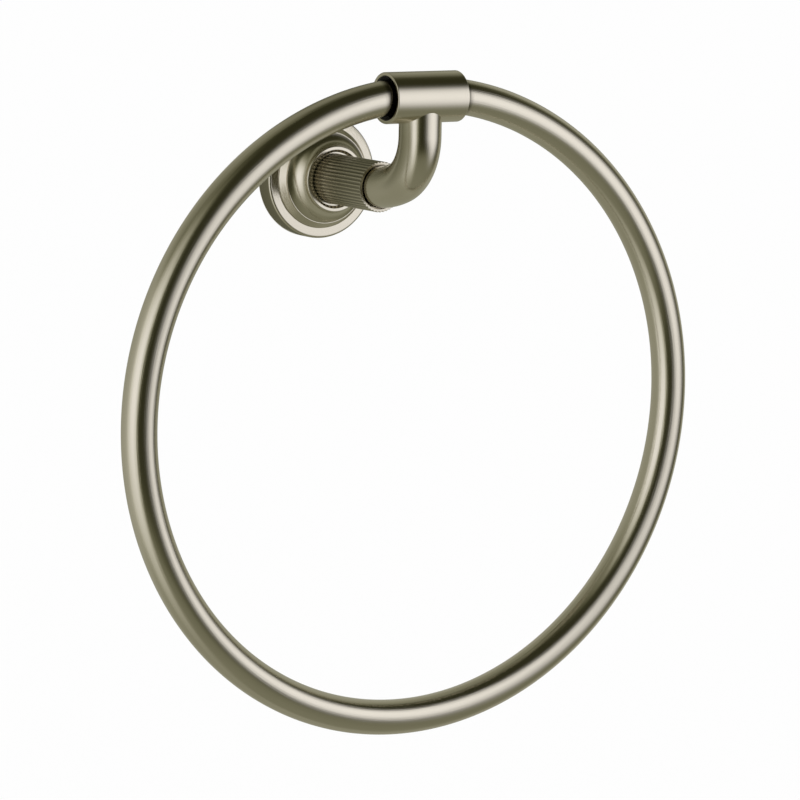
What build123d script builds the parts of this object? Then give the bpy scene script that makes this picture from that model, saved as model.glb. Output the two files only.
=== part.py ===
from build123d import *
import os
from math import cos, radians, sin, sqrt, tan

# A towel ring on a wall post. Millimetres; the wall is the plane Y = 0, the post runs out
# along -Y on the line X = Z = 0, and Z is up. "Height" below is the distance out from the wall.

# Ring: a round rod closed into a circle, hanging in a plane parallel to the wall
ring_radius = 96.0              # to the middle of the rod
ring_rod_diameter = 10.8
reach = 62.4                    # from the wall to the plane of the hanging ring

# Sleeve and its bushes
sleeve_length = 25.6
sleeve_wall = 1.1
sleeve_edge = 0.3               # rounding of the sleeve's end edges
bush_length = 3.0
bush_wall = 0.75                # at the thin, inner end
bush_setback = 0.5              # from the sleeve's end face
bush_flare_depth = 1.9          # of the funnel in which the ring enters
bush_flare_wall = 0.2           # left at the funnel's wide end
ring_clearance = 0.15           # all round the ring, in the bushes and in the sleeve

# Arm: one bent rod from the post up to the sleeve
arm_diameter = 13.0
arm_ease_radius = 40.0          # slight curve on leaving the post, to the middle of the rod
arm_ease_angle = 20.0           # degrees turned in the slight curve
arm_bend_radius = 16.0          # the bend proper, to the middle of the rod
arm_ease_cover = 2.8            # length of the slight curve that the post covers
arm_rise = 29.3                 # from the post's axis up to the sleeve's axis
spigot_diameter = 10.0
spigot_length = 8.0

# Post: fluted bar with a recess for the arm
post_recess_depth = 4.0
post_recess_gap = 0.35          # shadow gap round the arm
post_lip = 0.75                 # wall left between the recess and the bottom of the flutes
flute_count = 42
flute_depth = 0.25
flute_radius = 0.5              # of the round groove itself

# Rosette: outside, from the collar at the post to the flange at the wall
collar_width = 2.49
collar_land = 1.2               # flat ring that the collar shows to the front
collar_wall_height = 1.65
collar_edge = 0.45              # rounding of the collar's shoulder
mouth_depth = 0.9               # how far the collar is dished round the post
mouth_seat = 0.5                # flat ring at the bottom of the dish
cove_span = 3.87                # of the hollow between the collar and the steps, both ways
cove_lean = 22.0                # degrees by which the hollow meets the collar and the step
cove_fill = 0.97                # share of the hollow that its arc takes up
step_two_land = 0.25
step_two_rise = 0.55
step_one_width = 1.6
step_one_slope = 1.6            # drop over the width of the step
step_one_rise = 0.6
step_edge = 0.2                 # rounding of both steps
flange_width = 3.29
flange_height = 6.5
flange_edge = 0.8

# Rosette: inside
rim_wall = 2.5
flange_wall = 1.9
dome_wall = 2.0
web_thickness = 2.5

# Wall bracket
bracket_clearance = 0.3         # between the bracket and the inside of the rosette
bracket_groove_depth = 0.65
bracket_screw_diameter = 4.5
bracket_countersink_diameter = 8.0

# Fasteners inside
bolt_diameter = 6.0
bolt_head_diameter = 10.0
bolt_head_height = 4.0
bolt_engagement = 7.0           # length held in the arm
bolt_head_room = 2.0            # between the bolt's head and the bracket
bolt_socket_width = 4.0         # across flats
bolt_socket_depth = 2.5
tapped_run_out = 3.0            # tapped hole beyond the bolt's tip
washer_thickness = 1.2
washer_diameter = 11.0
washer_split = 0.8
set_screw_diameter = 3.0
set_screw_recess = 0.3          # below the flange's outside
set_screw_tip_radius = 0.3
set_screw_tip_gap = 0.1         # round the tip, in the bracket's groove
set_screw_height = 2.4          # above the wall
set_screw_socket_width = 1.5
set_screw_socket_depth = 1.2

# Working clearances
location_clearance = 0.05       # a spigot or a screw in its own hole
passing_clearance = 0.3         # a bolt through a plain hole
post_clearance = 0.1            # the post in the rosette's collar

# Worked out: ring, sleeve and bushes
ring_rod_radius = ring_rod_diameter / 2
sleeve_half = sleeve_length / 2


def ring_drop(x):
    """How far the ring's middle line has dropped from its top, at a distance x from the middle."""
    return ring_radius - sqrt(ring_radius**2 - x**2)


bush_outer_end = sleeve_half - bush_setback
bush_inner_end = bush_outer_end - bush_length
bush_neck = bush_outer_end - bush_flare_depth
ring_crown = ring_drop(sleeve_half)     # the ring is centred in the sleeve at its two ends
bush_neck_radius = ring_rod_radius + ring_crown - ring_drop(bush_neck) + ring_clearance
bush_throat_radius = ring_rod_radius + ring_crown - ring_drop(bush_inner_end) + ring_clearance
sleeve_bore_radius = max(
    bush_throat_radius + bush_wall,
    ring_rod_radius + ring_crown + ring_clearance,
)
sleeve_radius = sleeve_bore_radius + sleeve_wall
bush_mouth_radius = sleeve_bore_radius - bush_flare_wall
ring_centre_z = arm_rise + ring_crown - ring_radius

# Worked out: arm and post
arm_radius = arm_diameter / 2
spigot_radius = spigot_diameter / 2
recess_radius = arm_radius + post_recess_gap
post_radius = recess_radius + post_lip + flute_depth
arm_ease_turn = radians(arm_ease_angle)
arm_bend_reach = arm_ease_radius * sin(arm_ease_turn) + arm_bend_radius * (1 - sin(arm_ease_turn))
arm_bend_start = reach - arm_bend_reach
post_end = arm_bend_start + arm_ease_cover
shoulder = post_end - post_recess_depth
spigot_end = shoulder - spigot_length

# Worked out: rosette
bore_radius = post_radius + post_clearance
collar_radius = bore_radius + collar_width
cove_foot_radius = collar_radius + cove_span
step_two_radius = cove_foot_radius + step_two_land
step_one_radius = step_two_radius + step_one_width
flange_radius = step_one_radius + flange_width
step_one_height = flange_height + step_one_rise
step_one_inner_height = step_one_height + step_one_slope
step_two_height = step_one_inner_height + step_two_rise
cove_height = step_two_height + cove_span
collar_height = cove_height + collar_wall_height
mouth_height = collar_height - mouth_depth
cove_flank = cove_span / (sin(radians(cove_lean)) + cos(radians(cove_lean)))
cove_knee = cove_flank * sin(radians(cove_lean))
cove_radius = cove_fill * cove_flank / tan(radians(45 - cove_lean))
cavity_radius = flange_radius - rim_wall
cavity_height = flange_height - flange_wall
dome_radius = step_two_radius - dome_wall
web_back = step_two_height - dome_wall
post_seat = web_back + web_thickness

# Worked out: fasteners and bracket
bolt_radius = bolt_diameter / 2
bolt_hole_radius = bolt_radius + passing_clearance
bolt_shoulder = web_back - washer_thickness
bolt_tip = spigot_end + bolt_engagement
set_screw_radius = set_screw_diameter / 2
bracket_radius = cavity_radius - bracket_clearance
bracket_thickness = cavity_height - bracket_clearance
bracket_bore_radius = bolt_head_diameter / 2 + bolt_head_room
groove_floor_radius = bracket_radius - bracket_groove_depth
screw_offset = (bracket_bore_radius + groove_floor_radius) / 2


def turned(corners):
    """Solid turned about the post's axis from corners given as (radius, height, rounding)."""
    points = [(radius, -height) for radius, height, rounding in corners]
    roundings = [rounding for radius, height, rounding in corners]
    with BuildPart() as piece:
        with BuildSketch(Plane.XY):
            with BuildLine():
                FilletPolyline(*points, radius=roundings, close=True)
            make_face()
        revolve(axis=Axis.Y)
    return piece.part


def bar(radius, start, end):
    """Round bar on the post's axis between two heights."""
    with BuildPart() as piece:
        with BuildSketch(Plane.XZ.offset(start)):
            Circle(radius)
        extrude(amount=end - start)
    return piece.part


def hexagonal_socket(width, start, depth):
    """Six-sided driving socket on the post's axis."""
    with BuildPart() as piece:
        with BuildSketch(Plane.XZ.offset(start)):
            RegularPolygon(width / 2, 6, major_radius=False)
        extrude(amount=depth)
    return piece.part


def make_wall_bracket():
    """Annular disc with a trapezoid groove round its rim and two countersunk screw holes."""
    groove_half = set_screw_tip_radius + set_screw_tip_gap
    groove_mouth = groove_half + bracket_groove_depth
    disc = turned([
        (bracket_bore_radius, 0, 0),
        (bracket_radius, 0, 0),
        (bracket_radius, set_screw_height - groove_mouth, 0),
        (groove_floor_radius, set_screw_height - groove_half, 0),
        (groove_floor_radius, set_screw_height + groove_half, 0),
        (bracket_radius, set_screw_height + groove_mouth, 0),
        (bracket_radius, bracket_thickness, 0),
        (bracket_bore_radius, bracket_thickness, 0),
    ])
    hole_radius = bracket_screw_diameter / 2
    sink_radius = bracket_countersink_diameter / 2
    sink_depth = sink_radius - hole_radius
    hole = bar(hole_radius, 0, bracket_thickness)
    sink = turned([
        (0, bracket_thickness - sink_depth, 0),
        (hole_radius, bracket_thickness - sink_depth, 0),
        (sink_radius, bracket_thickness, 0),
        (0, bracket_thickness, 0),
    ])
    for side in (-1, 1):
        disc -= Pos(side * screw_offset, 0, 0) * (hole + sink)
    return disc


def make_rosette():
    """Turned cover: flange, two steps, cove and collar outside; bracket space and web inside."""
    cover = turned([
        (flange_radius, 0, 0),
        (flange_radius, flange_height, flange_edge),
        (step_one_radius, flange_height, 0),
        (step_one_radius, step_one_height, step_edge),
        (step_two_radius, step_one_inner_height, 0),
        (step_two_radius, step_two_height, step_edge),
        (cove_foot_radius, step_two_height, 0),
        (collar_radius + cove_knee, step_two_height + cove_knee, cove_radius),
        (collar_radius, cove_height, 0),
        (collar_radius, collar_height, collar_edge),
        (collar_radius - collar_land, collar_height, 0),
        (bore_radius + mouth_seat, mouth_height, 0),
        (bore_radius, mouth_height, 0),
        (bore_radius, post_seat, 0),
        (bolt_hole_radius, post_seat, 0),
        (bolt_hole_radius, web_back, 0),
        (dome_radius, web_back, 0),
        (dome_radius, cavity_height, 0),
        (cavity_radius, cavity_height, 0),
        (cavity_radius, 0, 0),
    ])
    with BuildPart() as tapped_hole:
        with BuildSketch(Plane.XY.offset(-flange_radius)):
            with Locations((0, -set_screw_height)):
                Circle(set_screw_radius + location_clearance)
        extrude(amount=rim_wall + set_screw_radius)
    return cover - tapped_hole.part


def make_rosette_set_screw():
    """Headless screw with a cone tip, upright in the underside of the flange."""
    foot = set_screw_recess - flange_radius
    tip = set_screw_tip_gap + groove_floor_radius
    cone = set_screw_radius - set_screw_tip_radius
    with BuildPart() as screw:
        with BuildSketch(Plane.XZ):
            with BuildLine():
                Polyline(
                    (0, foot),
                    (set_screw_radius, foot),
                    (set_screw_radius, -tip - cone),
                    (set_screw_tip_radius, -tip),
                    (0, -tip),
                    close=True,
                )
            make_face()
        revolve(axis=Axis.Z)
        with BuildSketch(Plane.XY.offset(foot)):
            RegularPolygon(set_screw_socket_width / 2, 6, major_radius=False)
        extrude(amount=set_screw_socket_depth, mode=Mode.SUBTRACT)
    return Pos(0, -set_screw_height, 0) * screw.part


def make_post():
    """Fluted bar: round grooves along its whole length, bored for the bolt, spigot and arm."""
    groove_centre = post_radius + flute_radius - flute_depth
    with BuildPart() as post:
        with BuildSketch(Plane.XZ.offset(post_seat)):
            Circle(post_radius)
            with PolarLocations(groove_centre, flute_count):
                Circle(flute_radius, mode=Mode.SUBTRACT)
        extrude(amount=post_end - post_seat)
    bores = bar(bolt_hole_radius, post_seat, post_end)
    bores += bar(spigot_radius + location_clearance, spigot_end - location_clearance, post_end)
    bores += bar(recess_radius, shoulder, post_end)
    return post.part - bores


def make_arm():
    """Bent rod with a turned spigot and tapped hole at the post, and its top coped to the sleeve."""
    with BuildPart() as rod:
        with BuildLine(Plane.YZ) as route:
            run = Line((-shoulder, 0), (-arm_bend_start, 0))
            ease = JernArc(run @ 1, run % 1, arm_ease_radius, -arm_ease_angle)
            bend = JernArc(ease @ 1, ease % 1, arm_bend_radius, arm_ease_angle - 90)
            Line(bend @ 1, (-reach, arm_rise))
        with BuildSketch(Plane.XZ.offset(shoulder)):
            Circle(arm_radius)
        sweep(path=route.wires()[0])
    arm = rod.part + bar(spigot_radius, spigot_end, shoulder)
    arm -= bar(bolt_radius + location_clearance, spigot_end, bolt_tip + tapped_run_out)
    cope = Pos(0, -reach, arm_rise) * Rot(0, 90, 0) * Cylinder(sleeve_radius, sleeve_length)
    return arm - cope


def make_ring_sleeve():
    """Short tube across the top of the arm, its four end edges rounded."""
    corners = [
        (-sleeve_half, sleeve_bore_radius),
        (sleeve_half, sleeve_bore_radius),
        (sleeve_half, sleeve_radius),
        (-sleeve_half, sleeve_radius),
    ]
    with BuildPart() as sleeve:
        with BuildSketch(Plane.XZ):
            with BuildLine():
                FilletPolyline(*corners, radius=sleeve_edge, close=True)
            make_face()
        revolve(axis=Axis.X)
    return Pos(0, -reach, arm_rise) * sleeve.part


def make_sleeve_bush(side):
    """Liner in one end of the sleeve: a funnel at the mouth, then a bore that follows the ring's curve."""
    with BuildPart() as bush:
        with BuildSketch(Plane.XZ):
            with BuildLine():
                Polyline(
                    (side * bush_inner_end, bush_throat_radius),
                    (side * bush_neck, bush_neck_radius),
                    (side * bush_outer_end, bush_mouth_radius),
                    (side * bush_outer_end, sleeve_bore_radius),
                    (side * bush_inner_end, sleeve_bore_radius),
                    close=True,
                )
            make_face()
        revolve(axis=Axis.X)
    return Pos(0, -reach, arm_rise) * bush.part


def make_towel_ring():
    """Round rod closed into a circle, upright in the plane of the sleeve."""
    return Pos(0, -reach, ring_centre_z) * Rot(90, 0, 0) * Torus(ring_radius, ring_rod_radius)


def make_post_bolt():
    """Socket-head bolt from the back of the web through the post into the arm."""
    head_back = bolt_shoulder - bolt_head_height
    bolt = bar(bolt_head_diameter / 2, head_back, bolt_shoulder)
    bolt += bar(bolt_radius, bolt_shoulder, bolt_tip)
    return bolt - hexagonal_socket(bolt_socket_width, head_back, bolt_socket_depth)


def make_post_bolt_washer():
    """Split washer between the bolt's head and the web."""
    ring = bar(washer_diameter / 2, bolt_shoulder, web_back)
    ring -= bar(bolt_hole_radius, bolt_shoulder, web_back)
    middle = (bolt_shoulder + web_back) / 2
    split = Pos(0, -middle, washer_diameter / 2) * Box(washer_split, washer_thickness, washer_diameter)
    return ring - split


pieces = {
    "wall_bracket": make_wall_bracket(),
    "rosette": make_rosette(),
    "rosette_set_screw": make_rosette_set_screw(),
    "post": make_post(),
    "post_bolt": make_post_bolt(),
    "post_bolt_washer": make_post_bolt_washer(),
    "arm": make_arm(),
    "ring_sleeve": make_ring_sleeve(),
    "sleeve_bush_left": make_sleeve_bush(-1),
    "sleeve_bush_right": make_sleeve_bush(1),
    "towel_ring": make_towel_ring(),
}

os.makedirs("parts", exist_ok=True)
for name, piece in pieces.items():
    export_step(piece, f"parts/{name}.step")

print(f"sleeve {2 * sleeve_radius:.2f} outside, {2 * sleeve_bore_radius:.2f} bore")
print(f"post {2 * post_radius:.2f} across, ends {post_end:.2f} from the wall")
print(f"rosette {2 * flange_radius:.2f} across, {collar_height:.2f} high, cove radius {cove_radius:.2f}")
print(f"bracket screws {2 * screw_offset:.2f} apart, plate {bracket_thickness:.2f} thick")
print(f"ring centre {ring_centre_z:.3f} high, bolt {bolt_tip - bolt_shoulder:.2f} long")
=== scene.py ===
# %% [markdown]
# A towel ring of satin nickel
#
# The object is a wall-mounted towel holder. A stepped round rosette stands against the wall, a
# finely fluted post comes out of it, a bent arm rises from the post to a short cross sleeve, and
# a large ring of round rod hangs through the sleeve and swings in it. The solids come packed
# from the CAD model. This script gives them their looks: the pieces that show are built again
# as smooth surfaces of the same form, and the hidden ones keep their solids and get a finish.
# Everything is in metres, +Z is up and the wall is the plane Y = 0, with the object on its
# -Y side. "Height" means the distance out from the wall.

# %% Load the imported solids
import bpy
import numpy as np
from mathutils import Matrix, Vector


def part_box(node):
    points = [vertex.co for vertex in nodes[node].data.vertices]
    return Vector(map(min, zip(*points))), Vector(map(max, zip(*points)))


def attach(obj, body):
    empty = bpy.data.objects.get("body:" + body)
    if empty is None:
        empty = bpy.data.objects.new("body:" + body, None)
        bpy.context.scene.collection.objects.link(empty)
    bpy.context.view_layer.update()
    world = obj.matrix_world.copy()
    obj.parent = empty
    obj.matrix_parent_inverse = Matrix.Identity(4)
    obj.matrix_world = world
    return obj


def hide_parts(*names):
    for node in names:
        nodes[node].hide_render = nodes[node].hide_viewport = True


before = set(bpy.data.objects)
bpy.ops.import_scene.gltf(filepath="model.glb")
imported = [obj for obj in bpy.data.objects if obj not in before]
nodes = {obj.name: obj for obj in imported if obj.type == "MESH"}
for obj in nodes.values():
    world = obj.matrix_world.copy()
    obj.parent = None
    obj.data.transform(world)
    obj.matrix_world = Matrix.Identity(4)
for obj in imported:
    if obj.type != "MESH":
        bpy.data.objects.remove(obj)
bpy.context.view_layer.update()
link = bpy.context.scene.collection.objects.link
mm = 0.001
print("solids:", ", ".join(sorted(nodes)))

# %% [markdown]
# Reading sizes from the solids
#
# A new surface has to lie exactly where its solid lies. The box of a node gives its ends, so the
# large sizes are read from there instead of being typed in twice: the ring's radius and rod, the
# sleeve's axis, the arm's diameter and the ends of the post.

# %% Measure the solids
def extent(node):
    """Lowest and highest corner of a solid as arrays."""
    low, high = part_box(node)
    return np.array(low), np.array(high)


ring_low, ring_high = extent("towel_ring")
ring_rod = (ring_high[1] - ring_low[1]) / 2
ring_radius = (ring_high[0] - ring_low[0]) / 2 - ring_rod
ring_centre = (ring_low + ring_high) / 2
sleeve_low, sleeve_high = extent("ring_sleeve")
sleeve_centre = (sleeve_low + sleeve_high) / 2
sleeve_half = (sleeve_high[0] - sleeve_low[0]) / 2
sleeve_radius = (sleeve_high[2] - sleeve_low[2]) / 2
arm_low, arm_high = extent("arm")
arm_radius = (arm_high[0] - arm_low[0]) / 2
post_low, post_high = extent("post")
post_radius = post_high[2]
post_seat, post_end = -post_high[1], -post_low[1]
rosette_low, rosette_high = extent("rosette")
print("ring", np.round(np.array([ring_radius, ring_rod]) / mm, 3))
print("sleeve", np.round(np.array([sleeve_radius, sleeve_half]) / mm, 3))
print("post", np.round(np.array([post_radius, post_seat, post_end]) / mm, 3))

# %% [markdown]
# The camera
#
# The photograph looks at the holder from its left and a little from above, through a long lens
# that hardly shows perspective. The camera is set by those angles and by the place of the
# sleeve's middle in the frame, counted in ring radii along the camera's own axes.

# %% Place the camera
azimuth, elevation, roll = np.radians([-32.81, 8.82, -1.08])
sleeve_right, sleeve_down, sleeve_away = np.array([0.0653, -0.9522, 12.573]) * ring_radius

back = np.array([
    np.sin(azimuth) * np.cos(elevation),
    -np.cos(azimuth) * np.cos(elevation),
    np.sin(elevation),
])
level_right = np.array([np.cos(azimuth), np.sin(azimuth), 0.0])
level_down = np.cross(-back, level_right)
right = np.cos(roll) * level_right + np.sin(roll) * level_down
down = np.cos(roll) * level_down - np.sin(roll) * level_right

camera_pose = np.eye(4)
camera_pose[:3, :3] = np.column_stack([right, -down, back])
camera_pose[:3, 3] = sleeve_centre - sleeve_right * right - sleeve_down * down + sleeve_away * back

lens = bpy.data.cameras.new("photo_camera")
lens.sensor_width, lens.lens = 36.0, 180.0
lens.clip_start, lens.clip_end = 0.05, 200.0
camera = bpy.data.objects.new("photo_camera", lens)
link(camera)
camera.matrix_world = Matrix(camera_pose.tolist())
bpy.context.scene.camera = camera
bpy.context.scene.view_settings.view_transform = "Standard"
print("camera at", np.round(camera_pose[:3, 3], 4))

# %% [markdown]
# Surfaces from grids
#
# Every new piece below is a grid of points that is worked out as one numpy array and closed into
# a skin. A grid with rows and columns can be joined to itself in both directions, which makes a
# closed ring-like skin, or its first and last row can be drawn together to a single point. The
# signed volume tells whether the faces look outwards, and the quads are turned if they do not.

# %% Skins
def skin(name, points, closed_rows=True, closed_columns=True, poles=False, along=0):
    """A mesh over a grid of points (rows, columns, 3). Row i joins row i + 1, column j joins
    column j + 1, and a closed direction also joins its last line to its first. Poles add one point
    at the middle of the first and of the last row. The UV map counts 0 to 1 over the rows, by the
    distance from row to row, and over the columns; along says which of the two, 0 rows or 1 columns,
    the brushing follows."""
    rows, columns = points.shape[:2]
    index = np.arange(rows * columns).reshape(rows, columns)
    following = np.roll(points, -1, axis=0) if closed_rows else points[1:]
    stride = np.linalg.norm(following - points[:len(following)], axis=2).mean(axis=1)
    row_share = np.concatenate([[0.0], np.cumsum(stride)]) / stride.sum()
    column_share = np.arange(columns + closed_columns) / (columns + closed_columns - 1)
    index = np.vstack([index, index[:1]]) if closed_rows else index
    index = np.hstack([index, index[:, :1]]) if closed_columns else index

    def corners(grid):
        return np.stack([grid[:-1, :-1], grid[:-1, 1:], grid[1:, 1:], grid[1:, :-1]], axis=-1)

    quads = corners(index).reshape(-1, 4)
    row_uv, column_uv = np.meshgrid(row_share, column_share, indexing="ij")
    quad_uv = np.stack([corners(row_uv).reshape(-1), corners(column_uv).reshape(-1)], axis=-1)
    flat = points.reshape(-1, 3)
    triangles = np.vstack([quads[:, [0, 1, 2]], quads[:, [0, 2, 3]]])
    first_corner, second_corner, third_corner = (flat[triangles[:, i]] for i in range(3))
    volume = np.sum(first_corner * np.cross(second_corner, third_corner)) / 6
    faces = quads.tolist()
    loop_uv = [quad_uv]
    if poles:
        flat = np.vstack([flat, points[0].mean(axis=0), points[-1].mean(axis=0)])
        first, last = rows * columns, rows * columns + 1
        start = np.stack([index[0, 1:], index[0, :-1], np.full(columns, first)], axis=-1)
        end = np.stack([index[-1, :-1], index[-1, 1:], np.full(columns, last)], axis=-1)
        faces += start.tolist() + end.tolist()
        share = (np.arange(columns) + 0.5) / columns
        for row_at in (0.0, 1.0):
            loop_uv.append(np.stack([np.full(3 * columns, row_at), np.repeat(share, 3)], axis=-1))
    mesh = bpy.data.meshes.new(name)
    mesh.from_pydata(flat.tolist(), [], faces)
    uv = np.vstack(loop_uv)[:, [along, 1 - along]]
    mesh.uv_layers.new(name="brushing").data.foreach_set("uv", uv.astype(np.float32).ravel())
    if volume < 0:
        mesh.flip_normals()
    mesh.polygons.foreach_set("use_smooth", np.ones(len(mesh.polygons), bool))
    mesh.set_sharp_from_angle(angle=np.radians(35))
    mesh.update()
    print(name, "points", len(flat), "faces", len(faces), "volume in mm3", round(abs(volume) / mm**3, 1))
    return mesh


def piece(name, mesh, body, slot, *replaced):
    """Puts a mesh into the scene as a piece that rides on a body and stands for solids."""
    made = bpy.data.objects.new(name, mesh)
    link(made)
    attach(made, body)
    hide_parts(*replaced)
    return made


# %% [markdown]
# Outlines with rounded corners
#
# The rosette, the sleeve, the bushes and the post are turned pieces: one outline carried round an
# axis. An outline is a list of corners, each with a rounding radius, just as on a drawing. A corner
# is replaced by an arc that touches both sides, and each straight side gets one extra point close
# to either end, so that smooth shading stays flat on the side and turns only over the arc.

# %% Outlines
def outline(corners, arc_steps=7, hold=0.12 * mm):
    """A closed outline (points, 2) from corners (radius, height, rounding) in millimetres. A corner
    with the angle a between its sides is cut at the distance rounding / tan(a / 2), and the arc runs
    round a centre on the bisector at the distance rounding / sin(a / 2)."""
    table = np.array(corners, float) * mm
    at, rounding = table[:, :2], table[:, 2]
    before, after = np.roll(at, 1, axis=0) - at, np.roll(at, -1, axis=0) - at
    before /= np.linalg.norm(before, axis=1, keepdims=True)
    after /= np.linalg.norm(after, axis=1, keepdims=True)
    half = np.arccos(np.clip((before * after).sum(axis=1), -1, 1)) / 2
    cut = rounding / np.tan(half)
    bisector = before + after
    bisector /= np.linalg.norm(bisector, axis=1, keepdims=True)
    centre = at + bisector * (rounding / np.sin(half))[:, None]
    start, end = at + before * cut[:, None], at + after * cut[:, None]
    share = np.linspace(0, 1, arc_steps)[None, :, None]
    sweep = np.pi - 2 * half
    spoke_a, spoke_b = start - centre, end - centre
    weight_a = np.sin((1 - share[..., 0]) * sweep[:, None]) / np.sin(sweep)[:, None]
    weight_b = np.sin(share[..., 0] * sweep[:, None]) / np.sin(sweep)[:, None]
    arcs = centre[:, None] + weight_a[..., None] * spoke_a[:, None]
    arcs = arcs + weight_b[..., None] * spoke_b[:, None]
    next_start = np.roll(start, -1, axis=0)
    side = next_start - end
    length = np.linalg.norm(side, axis=1, keepdims=True)
    step = side * np.minimum(hold / np.maximum(length, 1e-12), 0.2)
    parts = []
    for i in range(len(table)):
        parts.append(arcs[i] if rounding[i] > 0 else at[i:i + 1])
        parts.append(np.stack([end[i] + step[i], next_start[i] - step[i]]))
    return np.vstack(parts)


def turned(profile, axis, columns, centre=(0.0, 0.0, 0.0), groove=None):
    """Carries an outline round an axis: point = centre + height * axis + radius * spoke(angle).
    groove(profile, angles) may give a depth that is taken off the radius."""
    axis = np.array(axis, float)
    up = np.array([0.0, 0.0, 1.0])
    side = np.cross(up, axis)
    angle = np.linspace(0, 2 * np.pi, columns, endpoint=False)
    spoke = np.cos(angle)[:, None] * -up + np.sin(angle)[:, None] * side
    radius = np.repeat(profile[:, :1], columns, axis=1)
    if groove is not None:
        radius = radius - groove(profile, angle)
    return np.array(centre) + profile[:, 1, None, None] * axis + radius[..., None] * spoke


# %% [markdown]
# The towel ring
#
# On the real holder this is a round rod, bent to a full circle and welded, then brushed along its
# length. A torus from the Add menu would do, but here it is two angles on a grid, which also gives
# a UV map whose first direction runs along the rod, where the brushing goes. Its seam lies at the
# top, inside the sleeve. The rod is dark just outside the sleeve, where the mouth shades it and it
# mirrors the black liner; that band is painted shade, a darker colour laid on the rod, and a number
# at each point says how much of it there is.

# %% Painted shade
def soft_step(values, at, softness):
    """A step from 0 to 1 at a value: 1 / (1 + exp(-(values - at) / softness))."""
    return 1 / (1 + np.exp(-(values - at) / softness))


def mark_painted_shade(mesh, share):
    """Stores a share of painted shade from 0 to 1 at each point, as an attribute that the finish reads."""
    painted_shade = mesh.attributes.new("painted_shade", "FLOAT", "POINT")
    painted_shade.data.foreach_set("value", share.astype(np.float32).ravel())
    print(mesh.name, "has", np.count_nonzero(share > 0.5), "dulled points")


# %% Build the towel ring
along = np.linspace(0, 2 * np.pi, 640, endpoint=False)[:, None]
round_rod = np.linspace(0, 2 * np.pi, 56, endpoint=False)[None, :]
distance = ring_radius + ring_rod * np.cos(round_rod)
ring_points = ring_centre + np.stack([
    distance * np.sin(along),
    ring_rod * np.sin(round_rod) + 0 * along,
    distance * np.cos(along),
], axis=-1)
ring_mesh = skin("satin_towel_ring", ring_points, along=0)
from_mouth = np.abs(ring_points[..., 0]) - sleeve_half
# Painted shade: the rod gets a darker colour within this width of the sleeve's mouths, on its upper half.
painted_shade_width, painted_shade_fade = 2.0 * mm, 0.3 * mm
mark_painted_shade(ring_mesh, soft_step(-from_mouth, -painted_shade_width, painted_shade_fade) * (ring_points[..., 2] > 0))
towel_ring = piece("satin_towel_ring", ring_mesh, "hanging_ring", "brushed_nickel", "towel_ring")

# %% [markdown]
# The sleeve and its bushes
#
# The sleeve is a short length of tube, faced on a lathe, so fine rings run round it. A black liner
# sits just inside each end and keeps metal off metal. Its mouth is a funnel with a few fine turned
# rings, which are part of the outline here and not a bump, because they catch the light. The bore
# behind the funnel follows the ring: a circle through a straight tube needs the most room in the middle.

# %% Build the sleeve
bush_low, bush_high = extent("sleeve_bush_right")
sleeve_edge = 0.3
across, half_length = sleeve_radius / mm, sleeve_half / mm
sleeve_bore = (bush_high[2] - bush_low[2]) / 2 / mm
sleeve_outline = outline([
    (sleeve_bore, -half_length, sleeve_edge), (across, -half_length, sleeve_edge),
    (across, half_length, sleeve_edge), (sleeve_bore, half_length, sleeve_edge),
])
sleeve_points = turned(sleeve_outline, (1, 0, 0), 160, sleeve_centre)
sleeve_mesh = skin("satin_sleeve", sleeve_points, along=1)
sleeve = piece("satin_sleeve", sleeve_mesh, "wall_mount", "brushed_nickel", "ring_sleeve")

# %% Build the two bushes
funnel_depth, funnel_wall, ring_room = 1.9, 0.2, 0.15
turned_rings, ring_cut = (0.2, 0.45, 0.7), 0.1
bush_face, bush_back = bush_high[0] / mm, bush_low[0] / mm


def bore_at(x):
    """Radius that lets the ring through at a distance x from the sleeve's middle: the rod's radius and
    its room, plus the rise of the ring's circle from the sleeve's ends to x."""
    big, end = ring_radius / mm, half_length
    return ring_rod / mm + ring_room + np.sqrt(big**2 - x**2) - np.sqrt(big**2 - end**2)


neck = np.array([bore_at(bush_face - funnel_depth), bush_face - funnel_depth])
mouth = np.array([sleeve_bore - funnel_wall, bush_face])
bush_corners = [(bore_at(bush_back), bush_back, 0.0), (*neck, 0.1)]
for share in turned_rings:
    for shift, deep in ((-0.05, 0.0), (0.0, ring_cut), (0.05, 0.0)):
        spot = neck + (share + shift) * (mouth - neck)
        bush_corners.append((spot[0] + deep, spot[1], 0.02))
bush_corners += [(*mouth, 0.05), (sleeve_bore, bush_face, 0.05), (sleeve_bore, bush_back, 0.0)]
for side, sign in (("left", -1), ("right", 1)):
    bush_points = turned(outline(bush_corners, 4, 0.02 * mm), (sign, 0, 0), 120, sleeve_centre)
    bush_mesh = skin("liner_" + side, bush_points, along=1)
    piece("liner_" + side, bush_mesh, "wall_mount", "black_nylon", "sleeve_bush_" + side)

# %% [markdown]
# The arm
#
# The arm is a bent rod. Its lower end is turned down to a spigot that sits in the post and is
# tapped for the bolt; its upper end is hollowed to fit the sleeve and brazed to it. One profile of
# radii is carried along the path: a slight curve out of the post, then the bend proper and a short
# rise. At the top each line of the rod simply stops where it meets the sleeve's cylinder.

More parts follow.
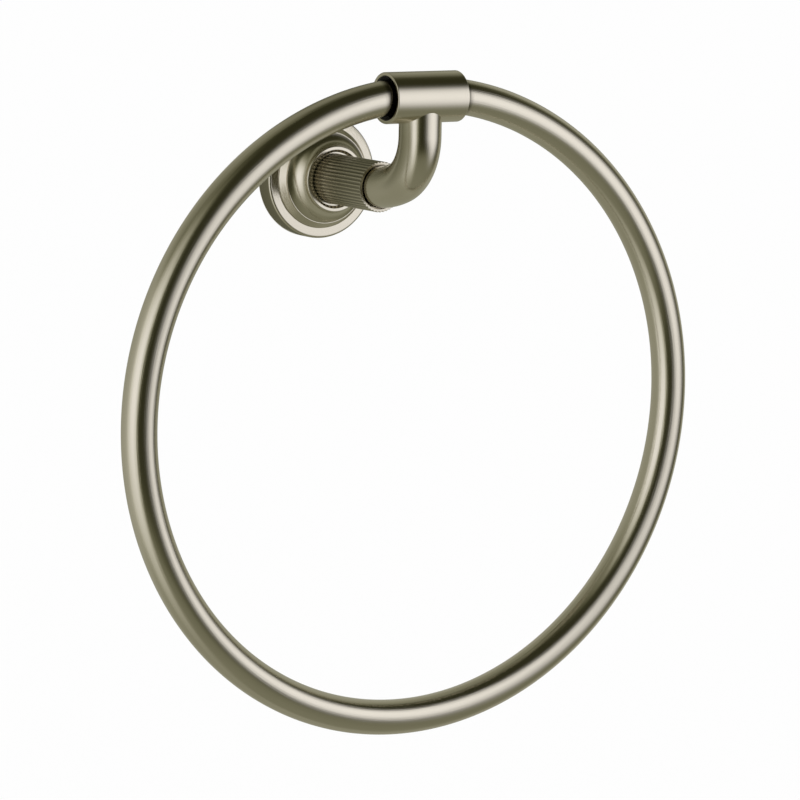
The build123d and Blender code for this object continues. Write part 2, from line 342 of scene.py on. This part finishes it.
# %% Lay out the arm's path
ease_radius, bend_radius, ease_turn = 40.0 * mm, 16.0 * mm, np.radians(20)
recess_depth, tapped_depth = 4.0 * mm, 10.0 * mm
spigot_radius, tapped_radius = 5.0 * mm, 3.05 * mm
shoulder, spigot_end = post_end - recess_depth, -arm_high[1]
reach, rise = -sleeve_centre[1], sleeve_centre[2]
bend_start = reach - ease_radius * np.sin(ease_turn) - bend_radius * (1 - np.sin(ease_turn))
ease = np.linspace(0, ease_turn, 12)
bend = np.linspace(ease_turn, np.pi / 2, 40)[1:]
ease_out, ease_up = bend_start + ease_radius * np.sin(ease), ease_radius * (1 - np.cos(ease))
bend_out = ease_out[-1] + bend_radius * (np.sin(bend) - np.sin(ease_turn))
bend_up = ease_up[-1] + bend_radius * (np.cos(ease_turn) - np.cos(bend))
print("bend from", np.round(bend_start / mm, 2), "to", np.round(bend_up[-1] / mm, 2), "mm up")

# %% Give the path its radii
hold = 0.05 * mm
tapped_end = spigot_end + tapped_depth
lead_in = np.array([
    (tapped_radius * 0.3, tapped_end), (tapped_radius * 0.9, tapped_end),
    (tapped_radius, tapped_end), (tapped_radius, spigot_end + hold),
    (tapped_radius, spigot_end), (tapped_radius + hold, spigot_end),
    (spigot_radius - hold, spigot_end), (spigot_radius, spigot_end),
    (spigot_radius, spigot_end + hold), (spigot_radius, shoulder - hold),
    (spigot_radius, shoulder), (spigot_radius + hold, shoulder),
    (arm_radius - hold, shoulder), (arm_radius, shoulder), (arm_radius, shoulder + hold),
])
path_out = np.concatenate([lead_in[:, 1], ease_out, bend_out])
path_up = np.concatenate([0 * lead_in[:, 1], ease_up, bend_up])
tilt = np.concatenate([0 * lead_in[:, 1], ease, bend])
radii = np.concatenate([lead_in[:, 0], np.full(len(ease) + len(bend), arm_radius)])

# %% Close the arm on the sleeve
rod_angle = np.linspace(0, 2 * np.pi, 96, endpoint=False)
sideways, outwards = np.sin(rod_angle)[None, :], np.cos(rod_angle)[None, :]
arm_body = np.stack([
    radii[:, None] * sideways,
    -(path_out[:, None] + radii[:, None] * outwards * np.sin(tilt)[:, None]),
    path_up[:, None] - radii[:, None] * outwards * np.cos(tilt)[:, None],
], axis=-1)


def cope(radius):
    """Height at which a line of the rod, a distance from its axis, meets the sleeve's cylinder:
    the sleeve's axis less the square root of sleeve radius squared minus distance squared."""
    return rise - np.sqrt(sleeve_radius**2 - (radius * outwards) ** 2)


rise_share = np.array([0.25, 0.5, 0.75, 0.97, 1.0])[:, None]
top = bend_up[-1] + rise_share * (cope(arm_radius) - bend_up[-1])
arm_rise_part = np.stack([
    arm_radius * sideways + 0 * top, -(reach + arm_radius * outwards) + 0 * top, top,
], axis=-1)
cap_radius = arm_radius * np.array([0.98, 0.8, 0.6, 0.4, 0.2])[:, None]
arm_cap = np.stack([
    cap_radius * sideways, -(reach + cap_radius * outwards), cope(cap_radius),
], axis=-1)
arm_points = np.vstack([arm_body, arm_rise_part, arm_cap])
arm_mesh = skin("satin_arm", arm_points, closed_rows=False, poles=True, along=0)
arm = piece("satin_arm", arm_mesh, "wall_mount", "brushed_nickel", "arm")

# %% [markdown]
# The fluted post
#
# The post is a bar with round grooves milled along it, forty-two of them. A groove is part of a
# circle, so its depth at an angle follows from the circle's equation. The grooves belong to the
# outer wall alone; the bores inside stay round. Twelve columns for each groove put points
# on both of its edges, which keeps the narrow lands between grooves crisp. The groove's depth is
# also stored as a share of painted shade, which darkens the bottom of each groove.

# %% Build the post
flutes, flute_deep, flute_round = 42, 0.25 * mm, 0.5 * mm
recess_gap, bolt_hole = 0.35 * mm, 3.3 * mm
recess_radius = arm_radius + recess_gap
spigot_bore = spigot_radius + 0.05 * mm
bore_end = spigot_end - 0.05 * mm
post_corners = np.array([
    (bolt_hole, post_seat, 0), (post_radius, post_seat, 0), (post_radius, post_end, 0.12 * mm),
    (recess_radius, post_end, 0.1 * mm), (recess_radius, shoulder, 0), (spigot_bore, shoulder, 0),
    (spigot_bore, bore_end, 0), (bolt_hole, bore_end, 0),
]) / mm
flute_centre = post_radius + flute_round - flute_deep


def flute_depth(profile, angle):
    """Depth of the groove at an angle: post radius less (c cos d - sqrt(r^2 - c^2 sin^2 d)), where d
    is the angle from the groove's middle, c the distance of its centre and r its radius."""
    pitch = 2 * np.pi / flutes
    off = (angle + np.pi / 2 + pitch / 2) % pitch - pitch / 2
    inside = np.maximum(flute_round**2 - (flute_centre * np.sin(off)) ** 2, 0)
    floor_radius = flute_centre * np.cos(off) - np.sqrt(inside)
    depth = np.clip(post_radius - floor_radius, 0, None)
    depth[inside <= 0] = 0
    return depth[None, :] * (profile[:, 0] > recess_radius + 0.5 * mm)[:, None]


post_outline = outline(post_corners)
post_points = turned(post_outline, (0, -1, 0), flutes * 12, groove=flute_depth)
post_mesh = skin("satin_fluted_post", post_points, along=0)
post_angles = np.linspace(0, 2 * np.pi, flutes * 12, endpoint=False)
# Painted shade: the bottom of each groove gets a darker colour by its depth, less near the post's outer
# end.
groove_shade_share = flute_depth(post_outline, post_angles) / flute_deep
groove_shade_share[post_outline[:, 1] > post_end - 0.2 * mm] *= 0.3
mark_painted_shade(post_mesh, groove_shade_share)
post = piece("satin_fluted_post", post_mesh, "wall_mount", "brushed_nickel", "post")

# %% [markdown]
# The rosette
#
# The rosette is turned from one blank: a flange at the wall, a sloped step and a fine second one, a
# wide hollow, and a collar that is dished round the post. Inside it is hollow for the bracket. All
# that is one outline. The tapped hole for the set screw, in the underside of the flange, is the one
# feature that turning cannot make, so it is drilled afterwards with a Boolean modifier that is then
# applied.

# %% Build the rosette
flange_radius, collar_front = rosette_high[0] / mm, -rosette_low[1] / mm
post_bore = post_radius / mm + 0.1
collar_radius = post_bore + 2.49
hollow_span, hollow_lean = 3.87, np.radians(22)
hollow_flank = hollow_span / (np.sin(hollow_lean) + np.cos(hollow_lean))
hollow_knee = hollow_flank * np.sin(hollow_lean)
hollow_radius = 0.97 * hollow_flank / np.tan(np.pi / 4 - hollow_lean)
hollow_floor = collar_front - 1.65 - hollow_span
hollow_rim = collar_radius + hollow_span
web_back = post_seat / mm - 2.5
rosette_corners = [
    (flange_radius, 0, 0.1), (flange_radius, 6.5, 0.8), (hollow_rim + 1.85, 6.5, 0.1),
    (hollow_rim + 1.85, 7.1, 0.2), (hollow_rim + 0.25, 8.7, 0.08), (hollow_rim + 0.25, hollow_floor, 0.12),
    (hollow_rim, hollow_floor, 0.05),
    (collar_radius + hollow_knee, hollow_floor + hollow_knee, hollow_radius),
    (collar_radius, hollow_floor + hollow_span, 0.05), (collar_radius, collar_front, 0.45),
    (collar_radius - 1.2, collar_front, 0.1), (post_bore + 0.5, collar_front - 0.9, 0.1),
    (post_bore, collar_front - 0.9, 0.0), (post_bore, post_seat / mm, 0.0), (3.3, post_seat / mm, 0.0),
    (3.3, web_back, 0.0), (hollow_rim - 1.75, web_back, 0.0), (hollow_rim - 1.75, 4.6, 0.0),
    (flange_radius - 2.5, 4.6, 0.0), (flange_radius - 2.5, 0, 0.1),
]
rosette_points = turned(outline(rosette_corners, 9), (0, -1, 0), 240)
rosette_mesh = skin("satin_rosette", rosette_points, along=1)
rosette = piece("satin_rosette", rosette_mesh, "wall_mount", "brushed_nickel", "rosette")

# %% Drill the set screw's hole
drill_radius, drill_height = 1.55 * mm, 2.4 * mm
drill_ends = np.array([-flange_radius * mm - 1.0 * mm, (2.0 - flange_radius + 2.5) * mm])
drill_turn = np.linspace(0, 2 * np.pi, 48, endpoint=False)
drill_points = np.stack(np.broadcast_arrays(
    drill_radius * np.cos(drill_turn)[None, :],
    -drill_height + drill_radius * np.sin(drill_turn)[None, :],
    drill_ends[:, None],
), axis=-1)
drill_mesh = skin("set_screw_drill", drill_points, closed_rows=False, poles=True)
drill = bpy.data.objects.new("set_screw_drill", drill_mesh)
link(drill)
cut = rosette.modifiers.new("set_screw_hole", "BOOLEAN")
cut.object, cut.operation, cut.solver = drill, "DIFFERENCE", "EXACT"
drilled = bpy.data.meshes.new_from_object(rosette.evaluated_get(bpy.context.evaluated_depsgraph_get()))
rosette.modifiers.clear()
rosette.data = drilled
drilled.set_sharp_from_angle(angle=np.radians(35))
bpy.data.objects.remove(drill)
print("drilled rosette has", len(drilled.polygons), "faces")

# %% [markdown]
# The white room
#
# The photograph shows the holder alone on white. A white world lights everything evenly, and a pale
# floor a good way below the ring takes its soft shadow. World strength 1 means that a matt colour
# renders about as it is written.

# %% Floor and world
world = bpy.data.worlds.new("white_room")
bpy.context.scene.world = world
world.use_nodes = True
background = world.node_tree.nodes["Background"]
background.inputs["Color"].default_value = (1.0, 1.0, 1.0, 1.0)
background.inputs["Strength"].default_value = 1.0

floor_half, floor_level = 60.0, -0.42
floor_mesh = bpy.data.meshes.new("pale_floor")
floor_mesh.from_pydata(
    [(x * floor_half, y * floor_half, floor_level) for x, y in ((-1, -1), (1, -1), (1, 1), (-1, 1))],
    [], [(0, 1, 2, 3)],
)
floor_paint = bpy.data.materials.new("pale_floor")
floor_paint.use_nodes = True
floor_shader = floor_paint.node_tree.nodes["Principled BSDF"]
floor_shader.inputs["Base Color"].default_value = (0.99, 0.99, 0.99, 1.0)
floor_shader.inputs["Roughness"].default_value = 1.0
floor_shader.inputs["Specular IOR Level"].default_value = 0.0
floor_mesh.materials.append(floor_paint)
floor = bpy.data.objects.new("pale_floor", floor_mesh)
link(floor)
floor.visible_glossy = False

# %% [markdown]
# What the metal sees
#
# Satin metal has hardly any shading of its own: it shows the studio round it. The photograph's
# bright and dark bands come from two large soft boxes, one far off at the left and a round one close
# by at the front right. Between them, where the camera stands, and overhead it is dark, and behind
# lies a dim room. All this is drawn on panels that reflections alone can see, so that the white world
# still lights matt surfaces plainly.

# %% Panels that only reflections see
def glow_panel(name, points, glow, cover=1.0):
    """A grid of points that shines with a tone per point, covers what lies behind it by a share per
    point, and is seen by reflections alone and only from its front. Dark tones get a little warmer:
    blue is the tone to the power 1.22."""
    mesh = bpy.data.meshes.new(name)
    rows, columns = points.shape[:2]
    index = np.arange(rows * columns).reshape(rows, columns)
    quads = np.stack([index[:-1, :-1], index[:-1, 1:], index[1:, 1:], index[1:, :-1]], axis=-1)
    mesh.from_pydata(points.reshape(-1, 3).tolist(), [], quads.reshape(-1, 4).tolist())
    colour = np.stack(np.broadcast_arrays(glow, glow, glow**1.22, cover), axis=-1)
    tones = mesh.attributes.new("glow", "FLOAT_COLOR", "POINT")
    tones.data.foreach_set("color", colour.astype(np.float32).ravel())
    mesh.materials.append(glow_paint)
    panel = bpy.data.objects.new(name, mesh)
    link(panel)
    for ray in ("camera", "diffuse", "transmission", "volume_scatter", "shadow"):
        setattr(panel, "visible_" + ray, False)
    print(name, "tones", np.round([np.min(glow), np.max(glow)], 3))
    return panel


glow_paint = bpy.data.materials.new("panel_glow")
glow_paint.use_nodes = True
tree = glow_paint.node_tree
tree.nodes.clear()
tone = tree.nodes.new("ShaderNodeAttribute")
tone.attribute_name = "glow"
facing = tree.nodes.new("ShaderNodeNewGeometry")
front = tree.nodes.new("ShaderNodeMath")
front.operation, front.inputs[0].default_value = "SUBTRACT", 1.0
shown = tree.nodes.new("ShaderNodeMath")
shown.operation = "MULTIPLY"
clear, shine = tree.nodes.new("ShaderNodeBsdfTransparent"), tree.nodes.new("ShaderNodeEmission")
mix, out = tree.nodes.new("ShaderNodeMixShader"), tree.nodes.new("ShaderNodeOutputMaterial")
tree.links.new(tone.outputs["Color"], shine.inputs["Color"])
tree.links.new(facing.outputs["Backfacing"], front.inputs[1])
tree.links.new(tone.outputs["Alpha"], shown.inputs[0])
tree.links.new(front.outputs["Value"], shown.inputs[1])
tree.links.new(shown.outputs["Value"], mix.inputs["Fac"])
tree.links.new(clear.outputs["BSDF"], mix.inputs[1])
tree.links.new(shine.outputs["Emission"], mix.inputs[2])
tree.links.new(mix.outputs["Shader"], out.inputs["Surface"])

# %% [markdown]
# The room and the left soft box
#
# A large sphere carries the room as a formula of azimuth, counted from the front, and elevation. The
# left box is a rectangle with soft edges, softest at its top and bottom. The room is dark in front,
# a little lighter on the ground, and lightest to the sides and behind, up to about head height.

# %% Room and left box
room_radius = 20 * ring_radius
azimuths, elevations = np.linspace(180, -180, 361), np.linspace(-90, 90, 181)
a, e = np.meshgrid(azimuths, elevations)
direction = np.stack([
    np.sin(np.radians(a)) * np.cos(np.radians(e)),
    -np.cos(np.radians(a)) * np.cos(np.radians(e)),
    np.sin(np.radians(e)),
], axis=-1)
room_front = 0.032 + 0.16 * soft_step(-e, 26, 4) + 0.04 * soft_step(-e, 50, 8)
low = 0.3 * soft_step(-e, 36, 5)
room_left = 0.6 - 0.47 * soft_step(e, 29, 3) - low
room_right = 0.62 - 0.55 * soft_step(e, 40, 3) - low
room = room_front + soft_step(-a, 91, 2.5) * (room_left - room_front)
room = room + soft_step(a, 102, 7) * (room_right - room_front)
left_box = soft_step(a, -96, 5) * soft_step(-a, 49, 4)
left_box = left_box * soft_step(e, -37, 14) * soft_step(-e, -34, 10)
room = room + left_box * (1.16 - room)
surround = glow_panel("studio_room", ring_centre + room_radius * direction, room)

# %% [markdown]
# The right soft box
#
# The round box at the front right stands so close that each part of the ring sees it in another
# direction. It is a disc on a stand of its own, squarish in outline, and fades out at its rim.

# %% Right box
box_azimuth, box_turn, box_tilt = np.radians([40.3, 35.0, -39.4])
box_distance, box_height = 0.586, 0.1156
box_wide, box_high, box_power, box_soft = 0.337, 0.284, 2.8, 0.24
box_centre = ring_centre + np.array([
    box_distance * np.sin(box_azimuth), -box_distance * np.cos(box_azimuth), box_height,
])
box_across = np.array([np.cos(box_turn), np.sin(box_turn), 0.0])
box_up = np.array([0.0, 0.0, 1.0])
box_side, box_rise = np.meshgrid(np.linspace(0.75, -0.75, 121), np.linspace(-0.75, 0.75, 121))
turned_side = np.cos(box_tilt) * box_side + np.sin(box_tilt) * box_rise
turned_rise = np.cos(box_tilt) * box_rise - np.sin(box_tilt) * box_side
rim = np.abs(turned_side / box_wide) ** box_power + np.abs(turned_rise / box_high) ** box_power
box_cover = soft_step(1 - rim ** (1 / box_power), 0, box_soft)
box_points = box_centre + box_side[..., None] * box_across + box_rise[..., None] * box_up
right_box = glow_panel("right_soft_box", box_points, np.full_like(box_cover, 1.13), box_cover)

# %% [markdown]
# The wall behind, as a reflection
#
# The holder hangs on a wall, and the back of the ring, the arm, the post and the rim of the rosette
# mirror it from close by. It starts outside the flange, is darkest next to the rosette and just above
# it, where light is kept off it, and blends into the room further out. A small dark card left of the
# arm, which photographers call a flag, takes the left box off the arm's side.

# %% Wall and flag
wall_steps = np.concatenate([np.linspace(0.0197, 0.06, 31), np.linspace(0.065, 0.5, 60)])
wall_spokes, wall_radii = np.meshgrid(np.linspace(2 * np.pi, 0, 97), wall_steps)
wall_points = np.stack([
    wall_radii * np.cos(wall_spokes), np.full_like(wall_radii, 0.0003), wall_radii * np.sin(wall_spokes),
], axis=-1)
wall_shade = soft_step(-wall_radii, -0.028, 0.003)
wall_overhead = soft_step(-wall_radii, -0.08, 0.012) * soft_step(wall_points[..., 2], 0.006, 0.008)
wall_overhead = wall_overhead * soft_step(wall_points[..., 0], -0.032, 0.005)
wall_glow = 0.285 - 0.22 * np.maximum(wall_shade, wall_overhead)
wall_cover = soft_step(-wall_radii, -0.206, 0.073)
wall_panel = glow_panel("wall_reflection", wall_points, wall_glow, wall_cover)

flag_out, flag_up = np.meshgrid(np.linspace(0.090, 0.020, 71), np.linspace(-0.040, 0.045, 86))
flag_points = np.stack([np.full_like(flag_out, -0.022), -flag_out, flag_up], axis=-1)
flag_glow = 0.09 + 0.2 * np.clip((flag_out - 0.035) / 0.033, 0, 1)
flag_cover = soft_step(flag_out, 0.032, 0.003) * soft_step(-flag_out, -0.0705, 0.0012)
flag_cover = flag_cover * soft_step(flag_up, -0.004, 0.006) * soft_step(-flag_up, -0.024, 0.003)
flag = glow_panel("arm_flag", flag_points, flag_glow, flag_cover)

# %% [markdown]
# Brushed lines as a node group
#
# Satin nickel is brushed with fine lines before it is plated. The lines are a noise that changes
# fast across the brushing and slowly along it. Both directions of a piece's UV map are closed loops,
# so each is wound round a circle, and the noise is read at the four coordinates of the two circles. So
# it meets itself without a seam. The same group serves every piece, with its own counts.

# %% Brushed lines
def node_group(name, inputs, outputs):
    """A shader node group with named sockets; gives the tree, its input node and its output node."""
    group = bpy.data.node_groups.new(name, "ShaderNodeTree")
    for label, kind in inputs:
        group.interface.new_socket(label, in_out="INPUT", socket_type="NodeSocket" + kind)
    for label, kind in outputs:
        group.interface.new_socket(label, in_out="OUTPUT", socket_type="NodeSocket" + kind)
    return group, group.nodes.new("NodeGroupInput"), group.nodes.new("NodeGroupOutput")


def math_node(tree, operation, first, second=None):
    """A Math node; a number is set on its socket and an output is linked to it."""
    node = tree.nodes.new("ShaderNodeMath")
    node.operation = operation
    for socket, value in zip(node.inputs, (first, second)):
        if isinstance(value, (int, float)):
            socket.default_value = value
        elif value is not None:
            tree.links.new(value, socket)
    return node.outputs["Value"]


lines_group, lines_in, lines_out = node_group(
    "brushed_lines", [("Share", "Vector"), ("Along", "Float"), ("Across", "Float")], [("Lines", "Float")])
split = lines_group.nodes.new("ShaderNodeSeparateXYZ")
lines_group.links.new(lines_in.outputs["Share"], split.inputs["Vector"])
circle = []
for share, count in ((split.outputs["X"], "Along"), (split.outputs["Y"], "Across")):
    turn = math_node(lines_group, "MULTIPLY", share, 2 * np.pi)
    for wave in ("COSINE", "SINE"):
        swing = math_node(lines_group, wave, turn)
        circle.append(math_node(lines_group, "MULTIPLY", swing, lines_in.outputs[count]))
gather = lines_group.nodes.new("ShaderNodeCombineXYZ")
grain = lines_group.nodes.new("ShaderNodeTexNoise")
grain.noise_dimensions = "4D"
grain.inputs["Scale"].default_value = 1.0
grain.inputs["Detail"].default_value = 3.0
grain.inputs["Roughness"].default_value = 0.6
for value, socket in zip(circle, (*gather.inputs, grain.inputs["W"])):
    lines_group.links.new(value, socket)
lines_group.links.new(gather.outputs["Vector"], grain.inputs["Vector"])
lines_group.links.new(grain.outputs["Fac"], lines_out.inputs["Lines"])

# %% [markdown]
# Mottled tone as a node group
#
# No plated or moulded surface has quite one colour. A soft cloud of noise moves each finish a little
# between two close colours and two close roughnesses. Both ends are inputs, so nickel, zinc, steel
# and nylon share the group. A third colour, painted shade, comes in by a piece's share of it.

# %% Mottled tone
tone_group, tone_in, tone_out = node_group(
    "mottled_tone",
    [("Place", "Vector"), ("Size", "Float"), ("Light", "Color"), ("Dark", "Color"),
     ("Smooth", "Float"), ("Rough", "Float"), ("Lines", "Float"), ("PaintedShadeColour", "Color"), ("PaintedShade", "Float")],
    [("Tone", "Color"), ("Roughness", "Float"), ("Cloud", "Float")],
)
cloud = tone_group.nodes.new("ShaderNodeTexNoise")
cloud.inputs["Detail"].default_value = 2.0
tone_group.links.new(tone_in.outputs["Place"], cloud.inputs["Vector"])
tone_group.links.new(tone_in.outputs["Size"], cloud.inputs["Scale"])
blend_colour = tone_group.nodes.new("ShaderNodeMix")
blend_colour.data_type = "RGBA"
tone_group.links.new(cloud.outputs["Fac"], blend_colour.inputs["Factor"])
tone_group.links.new(tone_in.outputs["Dark"], blend_colour.inputs[6])
tone_group.links.new(tone_in.outputs["Light"], blend_colour.inputs[7])
blend_rough = tone_group.nodes.new("ShaderNodeMix")
tone_group.links.new(tone_in.outputs["Lines"], blend_rough.inputs["Factor"])
tone_group.links.new(tone_in.outputs["Smooth"], blend_rough.inputs[2])
tone_group.links.new(tone_in.outputs["Rough"], blend_rough.inputs[3])
# The painted shade colour is mixed in last, by each point's share of painted shade.
blend_painted_shade = tone_group.nodes.new("ShaderNodeMix")
blend_painted_shade.data_type = "RGBA"
tone_group.links.new(tone_in.outputs["PaintedShade"], blend_painted_shade.inputs["Factor"])
tone_group.links.new(blend_colour.outputs[2], blend_painted_shade.inputs[6])
tone_group.links.new(tone_in.outputs["PaintedShadeColour"], blend_painted_shade.inputs[7])
tone_group.links.new(blend_painted_shade.outputs[2], tone_out.inputs["Tone"])
tone_group.links.new(blend_rough.outputs[0], tone_out.inputs["Roughness"])
tone_group.links.new(cloud.outputs["Fac"], tone_out.inputs["Cloud"])

# %% [markdown]
# The finishes
#
# A finish is one Principled shader fed by the groups. Satin nickel is metal with a warm base and
# fine lines as a bump; nylon is black and dull; the cast bracket is grained; the screws are plain
# bright steel. The values that do not change over the surface are set on the shader itself.

# %% A finish
def finish(name, light, dark, smooth, rough, size, metal=0.0, lines=None, bump=0.0, painted_shade_colour=None):
    """A material whose colour and roughness drift between two ends. With lines given as (along, across)
    the brushed lines steer roughness and bump; without, the cloud does. A painted shade colour comes in
    by the piece's share of painted shade."""
    made = bpy.data.materials.new(name)
    made.use_nodes = True
    tree = made.node_tree
    shader = tree.nodes["Principled BSDF"]
    shader.inputs["Metallic"].default_value = metal
    place = tree.nodes.new("ShaderNodeTexCoord")
    tone = tree.nodes.new("ShaderNodeGroup")
    tone.node_tree = tone_group
    tree.links.new(place.outputs["Object"], tone.inputs["Place"])
    ends = {"Size": size, "Light": (*light, 1), "Dark": (*dark, 1), "Smooth": smooth, "Rough": rough}
    for label, value in ends.items():
        tone.inputs[label].default_value = value
    height = tone.outputs["Cloud"]
    if lines is not None:
        brushed = tree.nodes.new("ShaderNodeGroup")
        brushed.node_tree = lines_group
        brushed.inputs["Along"].default_value, brushed.inputs["Across"].default_value = lines
        tree.links.new(place.outputs["UV"], brushed.inputs["Share"])
        height = brushed.outputs["Lines"]
    tree.links.new(height, tone.inputs["Lines"])
    relief = tree.nodes.new("ShaderNodeBump")
    relief.inputs["Distance"].default_value = bump
    tree.links.new(height, relief.inputs["Height"])
    tree.links.new(relief.outputs["Normal"], shader.inputs["Normal"])
    tree.links.new(tone.outputs["Roughness"], shader.inputs["Roughness"])
    if painted_shade_colour is not None:
        painted_shade = tree.nodes.new("ShaderNodeAttribute")
        painted_shade.attribute_name = "painted_shade"
        tone.inputs["PaintedShadeColour"].default_value = (*painted_shade_colour, 1)
        tree.links.new(painted_shade.outputs["Fac"], tone.inputs["PaintedShade"])
    tree.links.new(tone.outputs["Tone"], shader.inputs["Base Color"])
    return made


def dress(shown, paint):
    """Gives a piece its one material."""
    shown.data.materials.clear()
    shown.data.materials.append(paint)
    print(shown.name, "wears", paint.name)


# %% Satin nickel on the pieces that show
nickel_light, nickel_dark = (0.752, 0.705, 0.600), (0.712, 0.665, 0.564)
# Painted shade colours: the first darkens the ring at the sleeve's mouths, the second the bottoms of the
# post's grooves.
painted_mouth_shade, painted_groove_shade = (0.06, 0.055, 0.04), (0.30, 0.28, 0.22)
for shown, smooth, rough, lines, bump, painted_shade_colour in (
    (sleeve, 0.13, 0.18, (3, 40), 1.2e-5, None), (arm, 0.13, 0.18, (3, 20), 1.2e-5, None),
    (rosette, 0.13, 0.18, (4, 60), 1.2e-5, None), (towel_ring, 0.13, 0.19, (8, 16), 3.0e-5, painted_mouth_shade),
    (post, 0.2, 0.3, (3, 25), 0.5e-5, painted_groove_shade),
):
    satin = finish(shown.name, nickel_light, nickel_dark, smooth, rough, 60, 1.0, lines, bump, painted_shade_colour)
    dress(shown, satin)

# %% Nylon, zinc and steel
nylon_light, nylon_dark = (0.040, 0.041, 0.037), (0.026, 0.027, 0.024)
nylon = finish("black_liner", nylon_light, nylon_dark, 0.30, 0.45, 300, bump=1.0e-5)
for side in ("left", "right"):
    dress(bpy.data.objects["liner_" + side], nylon)
zinc_light, zinc_dark = (0.56, 0.56, 0.55), (0.46, 0.46, 0.45)
zinc = finish("cast_zinc", zinc_light, zinc_dark, 0.40, 0.65, 900, 1.0, bump=8.0e-5)
dress(nodes["wall_bracket"], zinc)
steel_light, steel_dark = (0.64, 0.64, 0.64), (0.54, 0.54, 0.54)
steel = finish("screw_steel", steel_light, steel_dark, 0.22, 0.38, 500, 1.0, bump=1.0e-5)
for name in ("post_bolt", "post_bolt_washer", "rosette_set_screw"):
    dress(nodes[name], steel)
